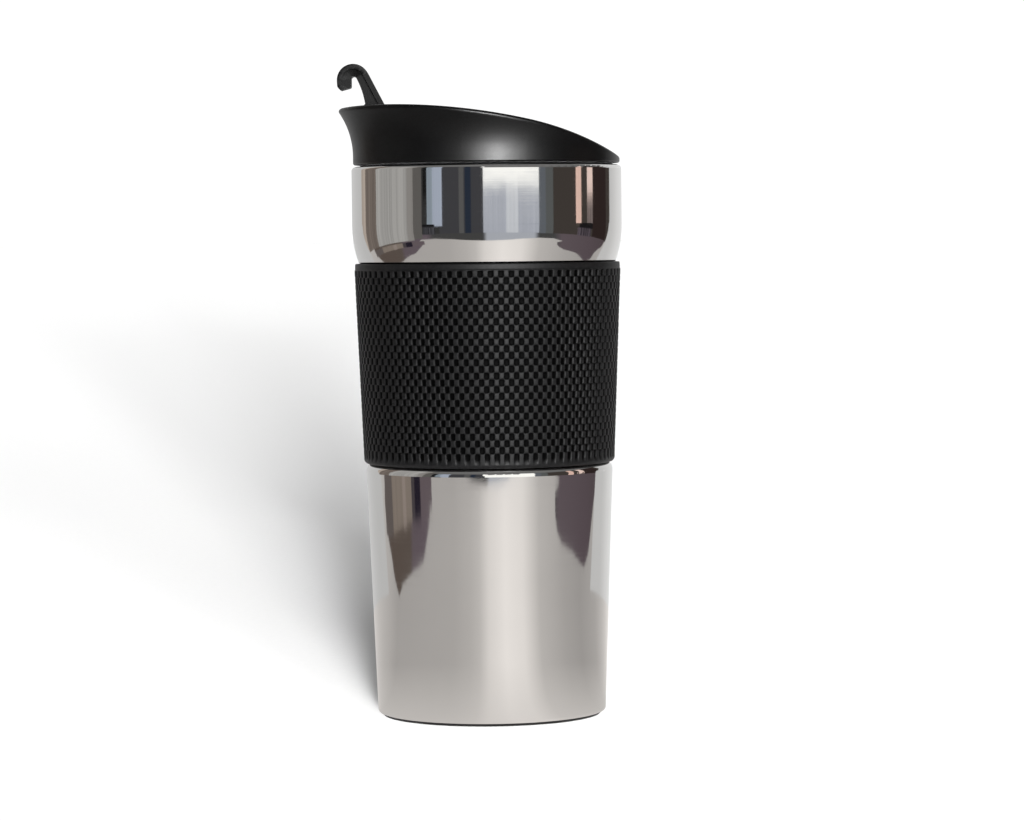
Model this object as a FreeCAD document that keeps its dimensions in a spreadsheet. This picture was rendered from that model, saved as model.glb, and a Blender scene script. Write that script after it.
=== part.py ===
"""Insulated travel mug: double-wall steel body, silicone grip band, screw-in lid and snap-shut lever.

Millimetres. +Z is up, the mug's axis is Z and the origin is the centre of the resting face of the base pad.
The drinking lip and the lever are on the -X side, and the lever is modelled standing open.
"""
import FreeCAD, Part
import math
import os
import re
import Sketcher

NODES_FOLDER = "parts"
TOUCH = 0.01          # lengths closer than this count as equal, mm
SMALLEST_CUT = 100.0  # the least that the plug's slot and air hole take away, mm3

# Driving dimensions, in millimetres, degrees or plain counts: alias, value, meaning.
SIZES = [
    ("rim_top", 162.8, "height of the steel rim"),
    ("steel", 0.5, "wall of the steel shells"),
    ("foot_radius", 33.84, "outer radius of the lower shell produced to height 0"),
    ("taper", 0.0381, "growth of the lower radius per millimetre of height"),
    ("foot_gap", 0.8, "height of the shell's bottom edge"),
    ("foot_round", 1.0, "round between the foot and the wall"),
    ("band_low", 75.0, "lower edge of the grip band"),
    ("band_high", 134.2, "upper edge of the grip band"),
    ("band_low_radius", 37.24, "outer radius of the band at its lower edge"),
    ("band_high_radius", 39.52, "outer radius of the band at its upper edge"),
    ("band_thick", 1.8, "thickness of the band"),
    ("band_round", 1.3, "round of the band's lower edge"),
    ("band_rim", 2.0, "height of the plain strip at the band's upper edge"),
    ("band_rim_set", 0.15, "how far the plain strip is set in"),
    ("band_rim_lean", 0.3, "how much further in the strip leans at its top"),
    ("shoulder_low", 72.6, "height where the lower shell starts to curve in under the band"),
    ("shoulder_round", 3.0, "radius of that curve"),
    ("collar_radius", 40.0, "outer radius of the upper shell"),
    ("collar_low", 145.5, "height where the collar starts to curve in"),
    ("collar_curve", 34.0, "radius of that curve"),
    ("collar_foot", 134.6, "height of the collar's lower edge"),
    ("rim_round", 1.2, "round of the steel rim"),
    ("neck_radius", 36.0, "inner radius of the liner's threaded neck"),
    ("neck_low", 144.0, "height of the ledge under the neck"),
    ("ledge_drop", 2.0, "height of the sloping ledge"),
    ("liner_top_radius", 33.5, "inner radius of the liner under the ledge"),
    ("liner_low_radius", 29.8, "inner radius of the liner at its floor corner"),
    ("liner_floor", 8.0, "height of the liner's inside floor"),
    ("liner_corner", 6.0, "inside round of the liner's floor"),
    ("pad_radius", 32.6, "radius of the base pad"),
    ("pad_thick", 1.9, "thickness of the base pad"),
    ("pad_edge", 0.4, "bevel of the pad's edge"),
    ("pad_play", 0.3, "gap between the pad and the shell's bottom edge"),
    ("pad_groove_inner", 22.0, "inner radius of the groove under the pad"),
    ("pad_groove_outer", 26.0, "outer radius of the groove under the pad"),
    ("pad_groove_deep", 0.5, "depth of the groove under the pad"),
    ("disc_radius", 33.3, "outer radius of the bottom disc"),
    ("disc_flange", 4.0, "height of the bottom disc's flange"),
    ("port_radius", 5.5, "radius of the raised evacuation port"),
    ("port_rise", 1.0, "rise of the evacuation port"),
    ("port_slope", 0.6, "width of the slope around the port"),
    ("port_hole", 0.7, "radius of the evacuation hole"),
    ("bead_radius", 3.0, "radius of the sealing bead in the port"),
    ("bead_gap", 0.1, "gap between the bead and the pad"),
    ("bead_crown", 0.2, "how much the bead bulges in its middle"),
    ("getter_radius", 4.0, "radius of the getter"),
    ("getter_tall", 2.0, "height of the getter"),
    ("getter_out", 17.0, "distance of the getter from the axis"),
    ("lead", 12.0, "rise of the lid's thread in one turn"),
    ("ridge_turn", 100.0, "degrees that one thread ridge runs"),
    ("ridge_start", 151.2, "height of the liner's ridges at their start"),
    ("ridge_step", 1.9, "how far the lid's ridges run below the liner's"),
    ("liner_root", 1.3, "half width of a liner ridge at its root"),
    ("plug_root", 1.4, "half width of a plug ridge at its root"),
    ("ridge_crest", 0.6, "half width of a ridge at its crest"),
    ("ridge_count", 3, "ridges around the neck"),
    ("liner_crest", 34.7, "radius of the crest of the liner's ridges"),
    ("stem_radius", 34.3, "outer radius of the lid plug's stem"),
    ("stem_crest", 35.6, "radius of the crest of the plug's ridges"),
    ("stem_wall", 2.0, "wall of the plug"),
    ("stem_low", 147.0, "height of the plug's lower face"),
    ("stem_bevel", 0.8, "bevel of the plug's lower edge"),
    ("flange_low", 163.85, "underside of the plug's flange"),
    ("flange_thick", 0.9, "thickness of the plug's flange"),
    ("flange_radius", 37.6, "radius of the plug's flange"),
    ("flange_cut", 31.5, "X past which the flange is cut away under the low end of the deck"),
    ("gasket_low", 162.95, "underside of the lid gasket"),
    ("gasket_high", 163.65, "top of the lid gasket"),
    ("gasket_inner", 34.55, "inner radius of the lid gasket"),
    ("gasket_outer", 37.45, "outer radius of the lid gasket"),
    ("gasket_round", 0.3, "round of the gasket's outer edges"),
    ("lid_low", 163.4, "lower edge of the lid's cover"),
    ("lid_radius", 39.5, "radius of the cover's straight wall"),
    ("lid_edge", 0.35, "bevel of the cover's lower edge"),
    ("flare_low", 166.0, "height where the cover's wall starts to flare"),
    ("flare_curve", 23.0, "radius of the flare"),
    ("flare_top", 184.0, "height to which the flare is turned before it is trimmed"),
    ("cover_wall", 1.8, "wall of the cover at its lower edge"),
    ("lip_wall", 2.0, "thickness of the cover's lip"),
    ("lip_round", 0.8, "round of the lip's crest"),
    ("dish_round", 0.5, "round between the deck and the lip"),
    ("crest_along", -33.0, "X of the highest point of the lip's outline"),
    ("crest_high", 180.27, "height of that point"),
    ("brow_curve", 215.0, "radius of the lip's outline from the crest to the bend"),
    ("bend_along", 12.0, "X where the outline tightens"),
    ("nose_curve", 95.0, "radius of the outline past the bend"),
    ("deck_high", 173.4, "height of the flat part of the deck"),
    ("deck_flat_end", -26.0, "X where the deck starts to fall"),
    ("deck_curve", 260.0, "radius of the falling deck"),
    ("deck_thick", 1.8, "thickness of the deck"),
    ("reach", 60.0, "half length of the trimming solids"),
    ("beyond", 5.0, "how far the trimming solids pass the lid's top and bottom"),
    ("sip_near", -33.6, "X of the sip slot's inner edge"),
    ("sip_far", -37.9, "X of the sip slot's outer edge"),
    ("sip_long", 10.0, "length of the sip slot"),
    ("vent_along", 26.0, "X of the vent hole"),
    ("vent_radius", 1.0, "radius of the vent hole"),
    ("hinge_along", -31.0, "X of the hinge axis"),
    ("hinge_high", 176.0, "height of the hinge axis"),
    ("pin_radius", 1.0, "radius of the hinge pin"),
    ("pin_long", 13.0, "length of the hinge pin"),
    ("pin_play", 0.06, "radial play of the lever on the pin"),
    ("ear_inner", 4.5, "half distance between the hinge ears"),
    ("ear_thick", 2.2, "thickness of a hinge ear"),
    ("ear_radius", 2.0, "radius of a hinge ear"),
    ("rib_wide", 8.0, "width of the lever's rib"),
    ("plate_wide", 11.0, "width of the lever's outer plate"),
    ("plate_thick", 1.5, "thickness of the lever's outer plate"),
    ("shut_angle", 36.0, "swing of the lever from open to shut"),
    ("hook_along", -39.0, "X of the centre of the hook's bend"),
    ("hook_high", 188.35, "height of the centre of the hook's bend"),
    ("hook_radius", 4.8, "outer radius of the hook's bend"),
    ("shank_lean", 27.3, "lean of the lever's shank from upright"),
    ("shank_long", 14.05, "length of the shank's outer face"),
    ("plate_long", 11.05, "length of the outer plate along the shank"),
    ("knuckle", 2.4, "distance of the knuckle's faces from the hinge axis"),
    ("tip_set", 0.05, "how far the hook's outer face draws in below its bend"),
    ("tip_drop", 1.35, "how far that face runs below the bend's centre"),
    ("claw_out", 3.6, "distance of the claw's lowest point from the bend's centre line"),
    ("claw_drop", 2.85, "how far the claw reaches below the bend's centre"),
    ("claw_round", 1.6, "round of the claw's outer corner"),
    ("plate_round", 3.0, "round of the outer plate's end on the claw"),
    ("plate_taper", 0.1, "how much the outer plate thickens towards the claw"),
    ("barb_out", 1.3, "distance of the barb's outer corner from the bend's centre line"),
    ("barb_drop", 2.25, "how far the barb reaches below the bend's centre"),
    ("barb_round", 0.7, "round of the barb"),
    ("mouth_out", 0.65, "distance of the claw's inner face from the bend's centre line"),
    ("mouth_drop", 1.55, "depth of that face below the bend's centre"),
    ("mouth_rise", 0.6, "height of that face above the bend's centre"),
    ("throat_along", 0.9, "distance of the throat's far end from the bend's centre line"),
    ("throat_rise", 0.65, "height of the throat's far end above the bend's centre"),
    ("throat_round", 0.8, "round of the hook's throat"),
    ("belly_along", -35.6, "X where the shank's inner face meets the foot's upper face"),
    ("belly_high", 181.4, "height of that point"),
    ("belly_curve", 24.0, "radius of the shank's inner face"),
    ("foot_root", 2.2, "distance of the foot's lower corner from the hinge axis"),
    ("foot_start", 2.35, "distance of the foot's wide part from the hinge axis"),
    ("foot_end", 7.15, "distance of the foot's end from the hinge axis"),
    ("foot_upper", 0.7, "depth of the foot's upper face under the hinge axis, at its start"),
    ("foot_tail", 0.9, "depth of the foot's upper face at its end"),
    ("foot_under", 1.5, "depth of the foot's lower face under the hinge axis"),
    ("seal_thick", 0.9, "thickness of the sip seal"),
    ("seal_long", 10.8, "length of the sip seal"),
    ("seal_draft", 0.05, "how much the sip seal narrows downwards at each side"),
    ("intake_near", -22.0, "X of the inner edge of the plug's drinking slot"),
    ("intake_far", -29.0, "X of its outer edge"),
    ("intake_long", 20.0, "length of the plug's drinking slot"),
]

doc = FreeCAD.newDocument("travel_mug")


def fill_sheet():
    """Write the driving dimensions into the spreadsheet, one per row, each with its alias."""
    sheet = doc.addObject("Spreadsheet::Sheet", "Sizes")
    for row, (alias, value, meaning) in enumerate(SIZES, start=1):
        sheet.set("A%d" % row, alias)
        sheet.set("B%d" % row, str(value))
        sheet.set("C%d" % row, meaning)
        sheet.setAlias("B%d" % row, alias)
    doc.recompute()
    return sheet


fill_sheet()
ALIASES = {alias for alias, value, meaning in SIZES}
VALUES = {alias: value for alias, value, meaning in SIZES}


def bound(text):
    """A formula of size names, written as a FreeCAD expression on the sheet."""
    return re.sub(r"[a-z_]+", lambda word: "Sizes." + word[0] if word[0] in ALIASES else word[0], str(text))


def bind(thing, **formulas):
    """Bind properties of a document object to formulas of the sizes."""
    for name, text in formulas.items():
        thing.setExpression(name, bound(text))


def number(sketch, text):
    """The present value of a formula, in millimetres."""
    value = sketch.evalExpression(bound(text))
    return float(getattr(value, "Value", value))


def piece(label):
    """A new PartDesign body for one sub-part, named after its node."""
    body = doc.addObject("PartDesign::Body", label)
    body.Label = label
    return body


def blank_sketch(owner, name, role):
    """An empty sketch on one of the body's own origin planes, or in the XZ plane when there is no body."""
    if owner is None:
        sketch = doc.addObject("Sketcher::SketchObject", name)
        sketch.Placement = FreeCAD.Placement(FreeCAD.Vector(), FreeCAD.Rotation(FreeCAD.Vector(1, 0, 0), 90))
        return sketch
    sketch = owner.newObject("Sketcher::SketchObject", name)
    plane = next(item for item in owner.Origin.OriginFeatures if item.Role == role)
    sketch.AttachmentSupport = (plane, "")
    sketch.MapMode = "FlatFace"
    return sketch


def arc_between(start, end, radius, turn):
    """The short arc between two points that turns left (turn 1) or right (turn -1)."""
    chord = end - start
    half = chord.Length / 2
    side = FreeCAD.Vector(-chord.y, chord.x, 0).normalize()
    centre = (start + end) / 2 + side * turn * math.sqrt(radius ** 2 - half ** 2)
    first, last = (start, end) if turn > 0 else (end, start)
    angles = [math.atan2(point.y - centre.y, point.x - centre.x) for point in (first, last)]
    return Part.ArcOfCircle(Part.Circle(centre, FreeCAD.Vector(0, 0, 1), radius), *angles)


def outline(owner, name, corners, role="XZ_Plane"):
    """A closed, fully constrained sketch through the corners, each bound to the sheet.

    A corner is (x, height) for a straight side up to it, or (x, height, radius, turn) for an arc up to it.
    """
    sketch = blank_sketch(owner, name, role)
    places = [FreeCAD.Vector(number(sketch, c[0]), number(sketch, c[1]), 0) for c in corners]
    ends = []
    for index, corner in enumerate(corners):
        start, end = places[index - 1], places[index]
        if len(corner) == 2:
            side = sketch.addGeometry(Part.LineSegment(start, end))
            ends.append((side, 1, 2))
        else:
            radius, turn = corner[2:]
            side = sketch.addGeometry(arc_between(start, end, number(sketch, radius), turn))
            ends.append((side, 1, 2) if turn > 0 else (side, 2, 1))
            size = sketch.addConstraint(Sketcher.Constraint("Radius", side, number(sketch, radius)))
            sketch.setExpression("Constraints[%d]" % size, bound(radius))
    for index, corner in enumerate(corners):
        side, first, last = ends[index]
        following = ends[(index + 1) % len(ends)]
        sketch.addConstraint(Sketcher.Constraint("Coincident", side, last, following[0], following[1]))
        for kind, text in (("DistanceX", corner[0]), ("DistanceY", corner[1])):
            value = number(sketch, text)
            if value == 0:
                axis = -2 if kind == "DistanceX" else -1
                sketch.addConstraint(Sketcher.Constraint("PointOnObject", side, last, axis))
                continue
            size = sketch.addConstraint(Sketcher.Constraint(kind, -1, 1, side, last, value))
            sketch.setExpression("Constraints[%d]" % size, bound(text))
    return sketch


def circle(owner, name, along, across, radius, role="XY_Plane"):
    """A sketch of one circle whose centre and radius are bound to the sheet."""
    sketch = blank_sketch(owner, name, role)
    centre = FreeCAD.Vector(number(sketch, along), number(sketch, across), 0)
    ring = Part.Circle(centre, FreeCAD.Vector(0, 0, 1), number(sketch, radius))
    edge = sketch.addGeometry(ring)
    size = sketch.addConstraint(Sketcher.Constraint("Radius", edge, number(sketch, radius)))
    sketch.setExpression("Constraints[%d]" % size, bound(radius))
    for kind, text in (("DistanceX", along), ("DistanceY", across)):
        value = number(sketch, text)
        if value == 0:
            axis = -2 if kind == "DistanceX" else -1
            sketch.addConstraint(Sketcher.Constraint("PointOnObject", edge, 3, axis))
            continue
        size = sketch.addConstraint(Sketcher.Constraint(kind, -1, 1, edge, 3, value))
        sketch.setExpression("Constraints[%d]" % size, bound(text))
    return sketch


def revolve(body, name, corners):
    """Turn an outline about the mug's axis inside a body."""
    sketch = outline(body, name + "_profile", corners)
    turned = body.newObject("PartDesign::Revolution", name)
    turned.Profile = sketch
    turned.ReferenceAxis = (sketch, ["V_Axis"])
    turned.Angle = 360
    return turned


def pad(body, name, sketch, length):
    """Raise a sketch evenly to both sides of its plane."""
    raised = body.newObject("PartDesign::Pad", name)
    raised.Profile = sketch
    raised.SideType = "Symmetric"
    bind(raised, Length=length)
    return raised


def cut(body, name, sketch, length):
    """Cut a sketch evenly to both sides of its plane."""
    pocket = body.newObject("PartDesign::Pocket", name)
    pocket.Profile = sketch
    pocket.SideType = "Symmetric"
    bind(pocket, Length=length)
    return pocket


def shell_radius(height):
    """Formula of the lower shell's outer radius at a height."""
    return "(foot_radius + taper * (%s))" % height


def make_outer_shell():
    """Visible steel wall: tapered foot, recess for the band, curved collar and turned-in rim."""
    body = piece("outer_shell")
    recess_low = "band_low_radius - band_thick"
    recess_high = "band_high_radius - band_thick"
    foot_end = "foot_gap + foot_round"
    collar_centre = "collar_radius - collar_curve"
    collar_outside = collar_centre + " + sqrt(collar_curve^2 - (collar_low - collar_foot)^2)"
    collar_inside_drop = "(collar_low - collar_foot - steel / 2)"
    collar_inside = collar_centre + " + sqrt((collar_curve - steel)^2 - " + collar_inside_drop + "^2)"
    revolve(body, "wall", [
        ("pad_radius + pad_play", "foot_gap"),
        (shell_radius(foot_end) + " - foot_round", "foot_gap"),
        (shell_radius(foot_end), foot_end, "foot_round", 1),
        (shell_radius("shoulder_low"), "shoulder_low"),
        (recess_low, "band_low", "shoulder_round", 1),
        (recess_high, "band_high"),
        (collar_outside, "collar_foot"),
        ("collar_radius", "collar_low", "collar_curve", 1),
        ("collar_radius", "rim_top - rim_round"),
        ("collar_radius - rim_round", "rim_top", "rim_round", 1),
        ("neck_radius + steel", "rim_top"),
        ("neck_radius + steel", "rim_top - steel"),
        ("collar_radius - rim_round", "rim_top - steel"),
        ("collar_radius - steel", "rim_top - rim_round", "rim_round - steel", -1),
        ("collar_radius - steel", "collar_low"),
        (collar_inside, "collar_foot + steel / 2", "collar_curve - steel", -1),
        (recess_high + " - steel", "band_high + steel / 2"),
        (recess_low + " - steel", "band_low - steel / 4"),
        (shell_radius("shoulder_low") + " - steel", "shoulder_low", "shoulder_round - steel", -1),
        (shell_radius(foot_end) + " - steel", foot_end),
        (shell_radius(foot_end) + " - foot_round", "foot_gap + steel", "foot_round - steel", -1),
        ("pad_radius + pad_play", "foot_gap + steel"),
    ])


def ridges(body, name, inner, outer, inner_half, outer_half, height):
    """Thread ridges: one ridge swept along the lead helix, then repeated around the axis."""
    sketch = outline(body, name + "_profile", [
        (inner, height + " - " + inner_half),
        (outer, height + " - " + outer_half),
        (outer, height + " + " + outer_half),
        (inner, height + " + " + inner_half),
    ])
    ridge = body.newObject("PartDesign::AdditiveHelix", name)
    ridge.Profile = sketch
    ridge.ReferenceAxis = (sketch, ["V_Axis"])
    ridge.Mode = 0
    bind(ridge, Pitch="lead", Height="lead * ridge_turn / 360")
    doc.recompute()
    around = body.newObject("PartDesign::PolarPattern", name + "_set")
    around.Originals = [ridge]
    around.Axis = (sketch, ["V_Axis"])
    around.Angle = 360
    bind(around, Occurrences="ridge_count")
    body.Tip = around


def make_inner_liner():
    """Steel beaker that holds the drink, with the threaded neck at its mouth."""
    body = piece("inner_liner")
    ledge_foot = "neck_low - ledge_drop"
    corner_end = "liner_floor + liner_corner"
    revolve(body, "beaker", [
        ("0", "liner_floor - steel"),
        ("liner_low_radius - liner_corner", "liner_floor - steel"),
        ("liner_low_radius + steel", corner_end, "liner_corner + steel", 1),
        ("liner_top_radius + steel", ledge_foot),
        ("neck_radius + steel", "neck_low"),
        ("neck_radius + steel", "rim_top"),
        ("neck_radius", "rim_top"),
        ("neck_radius", "neck_low + steel / 2"),
        ("liner_top_radius", ledge_foot + " + steel / 2"),
        ("liner_low_radius", corner_end),
        ("liner_low_radius - liner_corner", "liner_floor", "liner_corner", -1),
        ("0", "liner_floor"),
    ])
    ridges(body, "ridge", "liner_crest", "neck_radius + steel / 2", "ridge_crest",
           "liner_root", "ridge_start")


def make_outer_bottom():
    """Pressed disc that closes the shell, with a raised port for drawing the vacuum."""
    body = piece("outer_bottom")
    revolve(body, "disc", [
        ("port_hole", "pad_thick + port_rise"),
        ("port_radius - port_slope", "pad_thick + port_rise"),
        ("port_radius", "pad_thick"),
        ("disc_radius", "pad_thick"),
        ("disc_radius", "pad_thick + disc_flange"),
        ("disc_radius - steel", "pad_thick + disc_flange"),
        ("disc_radius - steel", "pad_thick + steel"),
        ("port_radius + steel", "pad_thick + steel"),
        ("port_radius - port_slope + steel", "pad_thick + port_rise + steel"),
        ("port_hole", "pad_thick + port_rise + steel"),
    ])


def make_vacuum_seal():
    """Bead that closes the evacuation port from below."""
    body = piece("vacuum_seal")
    revolve(body, "bead", [
        ("0", "pad_thick + bead_gap"),
        ("bead_radius", "pad_thick + bead_gap + bead_crown"),
        ("bead_radius", "pad_thick + port_rise"),
        ("0", "pad_thick + port_rise"),
    ])


def make_getter():
    """Pellet on the bottom disc, inside the vacuum, that binds what gas is left."""
    pellet = doc.addObject("Part::Cylinder", "getter")
    pellet.Label = "getter"
    bind(pellet, Radius="getter_radius", Height="getter_tall")
    bind(pellet, **{"Placement.Base.x": "getter_out", "Placement.Base.z": "pad_thick + steel"})


def make_base_pad():
    """Rubber pad that the mug stands on, with a shallow ring groove in its face."""
    body = piece("base_pad")
    revolve(body, "disc", [
        ("0", "0"),
        ("pad_groove_inner", "0"),
        ("pad_groove_inner", "pad_groove_deep"),
        ("pad_groove_outer", "pad_groove_deep"),
        ("pad_groove_outer", "0"),
        ("pad_radius - pad_edge", "0"),
        ("pad_radius", "pad_edge"),
        ("pad_radius", "pad_thick"),
        ("0", "pad_thick"),
    ])


def make_grip_band():
    """Silicone sleeve stretched into the shell's recess; its pattern is left to the finish."""
    body = piece("grip_band")
    slope = "(band_high_radius - band_low_radius) / (band_high - band_low)"
    strip = "band_high - band_rim"
    revolve(body, "sleeve", [
        ("band_low_radius - band_thick", "band_low"),
        ("band_low_radius - band_round", "band_low"),
        ("band_low_radius", "band_low + band_round", "band_round", 1),
        ("band_high_radius - " + slope + " * band_rim", strip),
        ("band_high_radius - " + slope + " * band_rim - band_rim_set", strip),
        ("band_high_radius - band_rim_set - band_rim_lean", "band_high"),
        ("band_high_radius - band_thick", "band_high"),
    ])


def turned(name, corners):
    """A loose solid turned about the mug's axis from an outline."""
    sketch = outline(None, name + "_profile", corners)
    solid = doc.addObject("Part::Revolution", name)
    solid.Source = sketch
    solid.Axis = FreeCAD.Vector(0, 0, 1)
    solid.Angle = 360
    solid.Solid = True
    return solid


def prism(name, corners, length):
    """A loose solid raised from an outline in the XZ plane, evenly to both sides."""
    sketch = outline(None, name + "_profile", corners)
    solid = doc.addObject("Part::Extrusion", name)
    solid.Base = sketch
    solid.DirMode = "Normal"
    solid.Symmetric = True
    solid.Solid = True
    bind(solid, LengthFwd=length)
    return solid


def combine(kind, name, *members):
    """Part::MultiCommon or Part::MultiFuse of loose solids."""
    whole = doc.addObject(kind, name)
    whole.Shapes = list(members)
    return whole


def subtract(name, base, tool):
    """Part::Cut of one loose solid from another."""
    left = doc.addObject("Part::Cut", name)
    left.Base = base
    left.Tool = tool
    return left


BROW_BASE = "crest_high - brow_curve"
BEND_HIGH = "(%s + sqrt(brow_curve^2 - (bend_along - crest_along)^2))" % BROW_BASE
NOSE_ALONG = "(bend_along - nose_curve * (bend_along - crest_along) / brow_curve)"
NOSE_BASE = "(%s - nose_curve * (%s - (%s)) / brow_curve)" % (BEND_HIGH, BEND_HIGH, BROW_BASE)


def brow_height(along):
    """Formula of the lip's outline left of the bend."""
    return "%s + sqrt(brow_curve^2 - (%s - crest_along)^2)" % (BROW_BASE, along)


def nose_height(along):
    """Formula of the lip's outline right of the bend."""
    return "%s + sqrt(nose_curve^2 - (%s - %s)^2)" % (NOSE_BASE, along, NOSE_ALONG)


def deck_height(along):
    """Formula of the falling part of the deck."""
    return "deck_high - deck_curve + sqrt(deck_curve^2 - (%s - deck_flat_end)^2)" % along


def flare_radius(height, inset):
    """Formula of the cover's flared outer radius, less an inset, at a height."""
    return "lid_radius - %s + flare_curve - sqrt(flare_curve^2 - (%s - flare_low)^2)" % (inset, height)


def cover_block():
    """The cover's outer form: a flared round wall trimmed by the falling outline of the lip."""
    wall = turned("cover_wall_solid", [
        ("0", "lid_low"),
        ("lid_radius - lid_edge", "lid_low"),
        ("lid_radius", "lid_low + lid_edge"),
        ("lid_radius", "flare_low"),
        (flare_radius("flare_top", "0"), "flare_top", "flare_curve", -1),
        ("0", "flare_top"),
    ])
    trim = prism("cover_outline_solid", [
        ("-reach", "lid_low - beyond"),
        ("reach", "lid_low - beyond"),
        ("reach", nose_height("reach")),
        ("bend_along", BEND_HIGH, "nose_curve", 1),
        ("-reach", brow_height("-reach"), "brow_curve", 1),
    ], "2 * reach")
    return combine("Part::MultiCommon", "cover_solid", wall, trim)


def dish_block():
    """The dish above the deck, inside the lip."""
    bowl = turned("dish_round_solid", [
        ("0", "lid_low"),
        ("lid_radius - lip_wall", "lid_low"),
        ("lid_radius - lip_wall", "flare_low"),
        (flare_radius("flare_top", "lip_wall"), "flare_top", "flare_curve", -1),
        ("0", "flare_top"),
    ])
    above = prism("dish_floor_solid", [
        ("-reach", "deck_high"),
        ("deck_flat_end", "deck_high"),
        ("reach", deck_height("reach"), "deck_curve", -1),
        ("reach", "flare_top + beyond"),
        ("-reach", "flare_top + beyond"),
    ], "2 * reach")
    dish = combine("Part::MultiCommon", "dish_solid", bowl, above)
    return rounded("dish_rounded", dish, "dish_round", low_edges)


def hollow_block():
    """The hollow under the deck, inside the cover's wall."""
    bore = turned("hollow_round_solid", [
        ("0", "lid_low - beyond"),
        ("lid_radius - cover_wall", "lid_low - beyond"),
        ("lid_radius - cover_wall", "flare_top"),
        ("0", "flare_top"),
    ])
    below = prism("hollow_roof_solid", [
        ("-reach", "lid_low - beyond"),
        ("reach", "lid_low - beyond"),
        ("reach", deck_height("reach") + " - deck_thick"),
        ("deck_flat_end", "deck_high - deck_thick", "deck_curve + deck_thick", 1),
        ("-reach", "deck_high - deck_thick"),
    ], "2 * reach")
    return combine("Part::MultiCommon", "hollow_solid", bore, below)


def low_edges(shape):
    """Numbers of the edges of the dish that lie at or under the level of the flat deck."""
    return [index for index, edge in enumerate(shape.Edges, start=1)
            if edge.BoundBox.ZMax <= VALUES["deck_high"] + TOUCH]


def lip_edges(shape):
    """Numbers of the edges on both sides of the lip's crest, where the trimming arcs cut the wall."""
    crest = []
    for face in shape.Faces:
        radius = getattr(face.Surface, "Radius", 0)
        if any(math.isclose(radius, VALUES[arc], rel_tol=1e-6) for arc in ("brow_curve", "nose_curve")):
            crest += [edge.hashCode() for edge in face.Edges if not isinstance(edge.Curve, Part.Line)]
    return [index for index, edge in enumerate(shape.Edges, start=1) if edge.hashCode() in crest]


def rounded(name, base, radius, choose):
    """Round those edges of a loose solid that choose(shape) numbers."""
    doc.recompute()
    fillet = doc.addObject("Part::Fillet", name)
    fillet.Base = base
    fillet.Edges = [(index, VALUES[radius], VALUES[radius]) for index in choose(base.Shape)]
    return fillet


def box(name, **formulas):
    """A loose box with its sizes and corner bound to the sheet."""
    solid = doc.addObject("Part::Box", name)
    bind(solid, **{key.replace("_", ".Base."): text for key, text in formulas.items()})
    return solid


def crosswise_cylinder(name, along, height, radius, start, length):
    """A loose cylinder along Y, from Y = start."""
    solid = doc.addObject("Part::Cylinder", name)
    solid.Placement.Rotation = FreeCAD.Rotation(FreeCAD.Vector(1, 0, 0), -90)
    bind(solid, Radius=radius, Height=length)
    bind(solid, **{"Placement.Base.x": along, "Placement.Base.y": start, "Placement.Base.z": height})
    return solid


def hinge_ear(name, start):
    """One ear that holds the hinge pin, standing on the deck."""
    knob = crosswise_cylinder(name + "_knob", "hinge_along", "hinge_high", "ear_radius", start, "ear_thick")
    post = box(name + "_post", Length="2 * ear_radius", Width="ear_thick",
               Height="hinge_high - deck_high + deck_thick / 2",
               Placement_x="hinge_along - ear_radius", Placement_y=start,
               Placement_z="deck_high - deck_thick / 2")
    return combine("Part::MultiFuse", name, knob, post)


def make_lid_cover():
    """Cover of the lid: flared lip, deck with sip slot and vent hole, and the ears of the hinge."""
    shell = subtract("cover_hollowed", cover_block(), hollow_block())
    raw = subtract("cover_dished", shell, dish_block())
    dished = rounded("cover_rounded", raw, "lip_round", lip_edges)
    slot = box("sip_slot_solid", Length="sip_near - sip_far", Width="sip_long", Height="4 * deck_thick",
               Placement_x="sip_far", Placement_y="-sip_long / 2", Placement_z="deck_high - 3 * deck_thick")
    vent = doc.addObject("Part::Cylinder", "vent_solid")
    bind(vent, Radius="vent_radius", Height="flare_top - flange_low")
    bind(vent, **{"Placement.Base.x": "vent_along", "Placement.Base.z": "flange_low"})
    ears = [hinge_ear("left_ear", "ear_inner"), hinge_ear("right_ear", "-ear_inner - ear_thick")]
    eared = combine("Part::MultiFuse", "cover_eared", dished, *ears)
    bore = crosswise_cylinder("pin_bore_solid", "hinge_along", "hinge_high", "pin_radius",
                              "-ear_inner - ear_thick", "2 * (ear_inner + ear_thick)")
    holes = combine("Part::MultiFuse", "cover_holes", slot, vent, bore)
    cover = subtract("lid_cover", eared, holes)
    cover.Label = "lid_cover"


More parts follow.
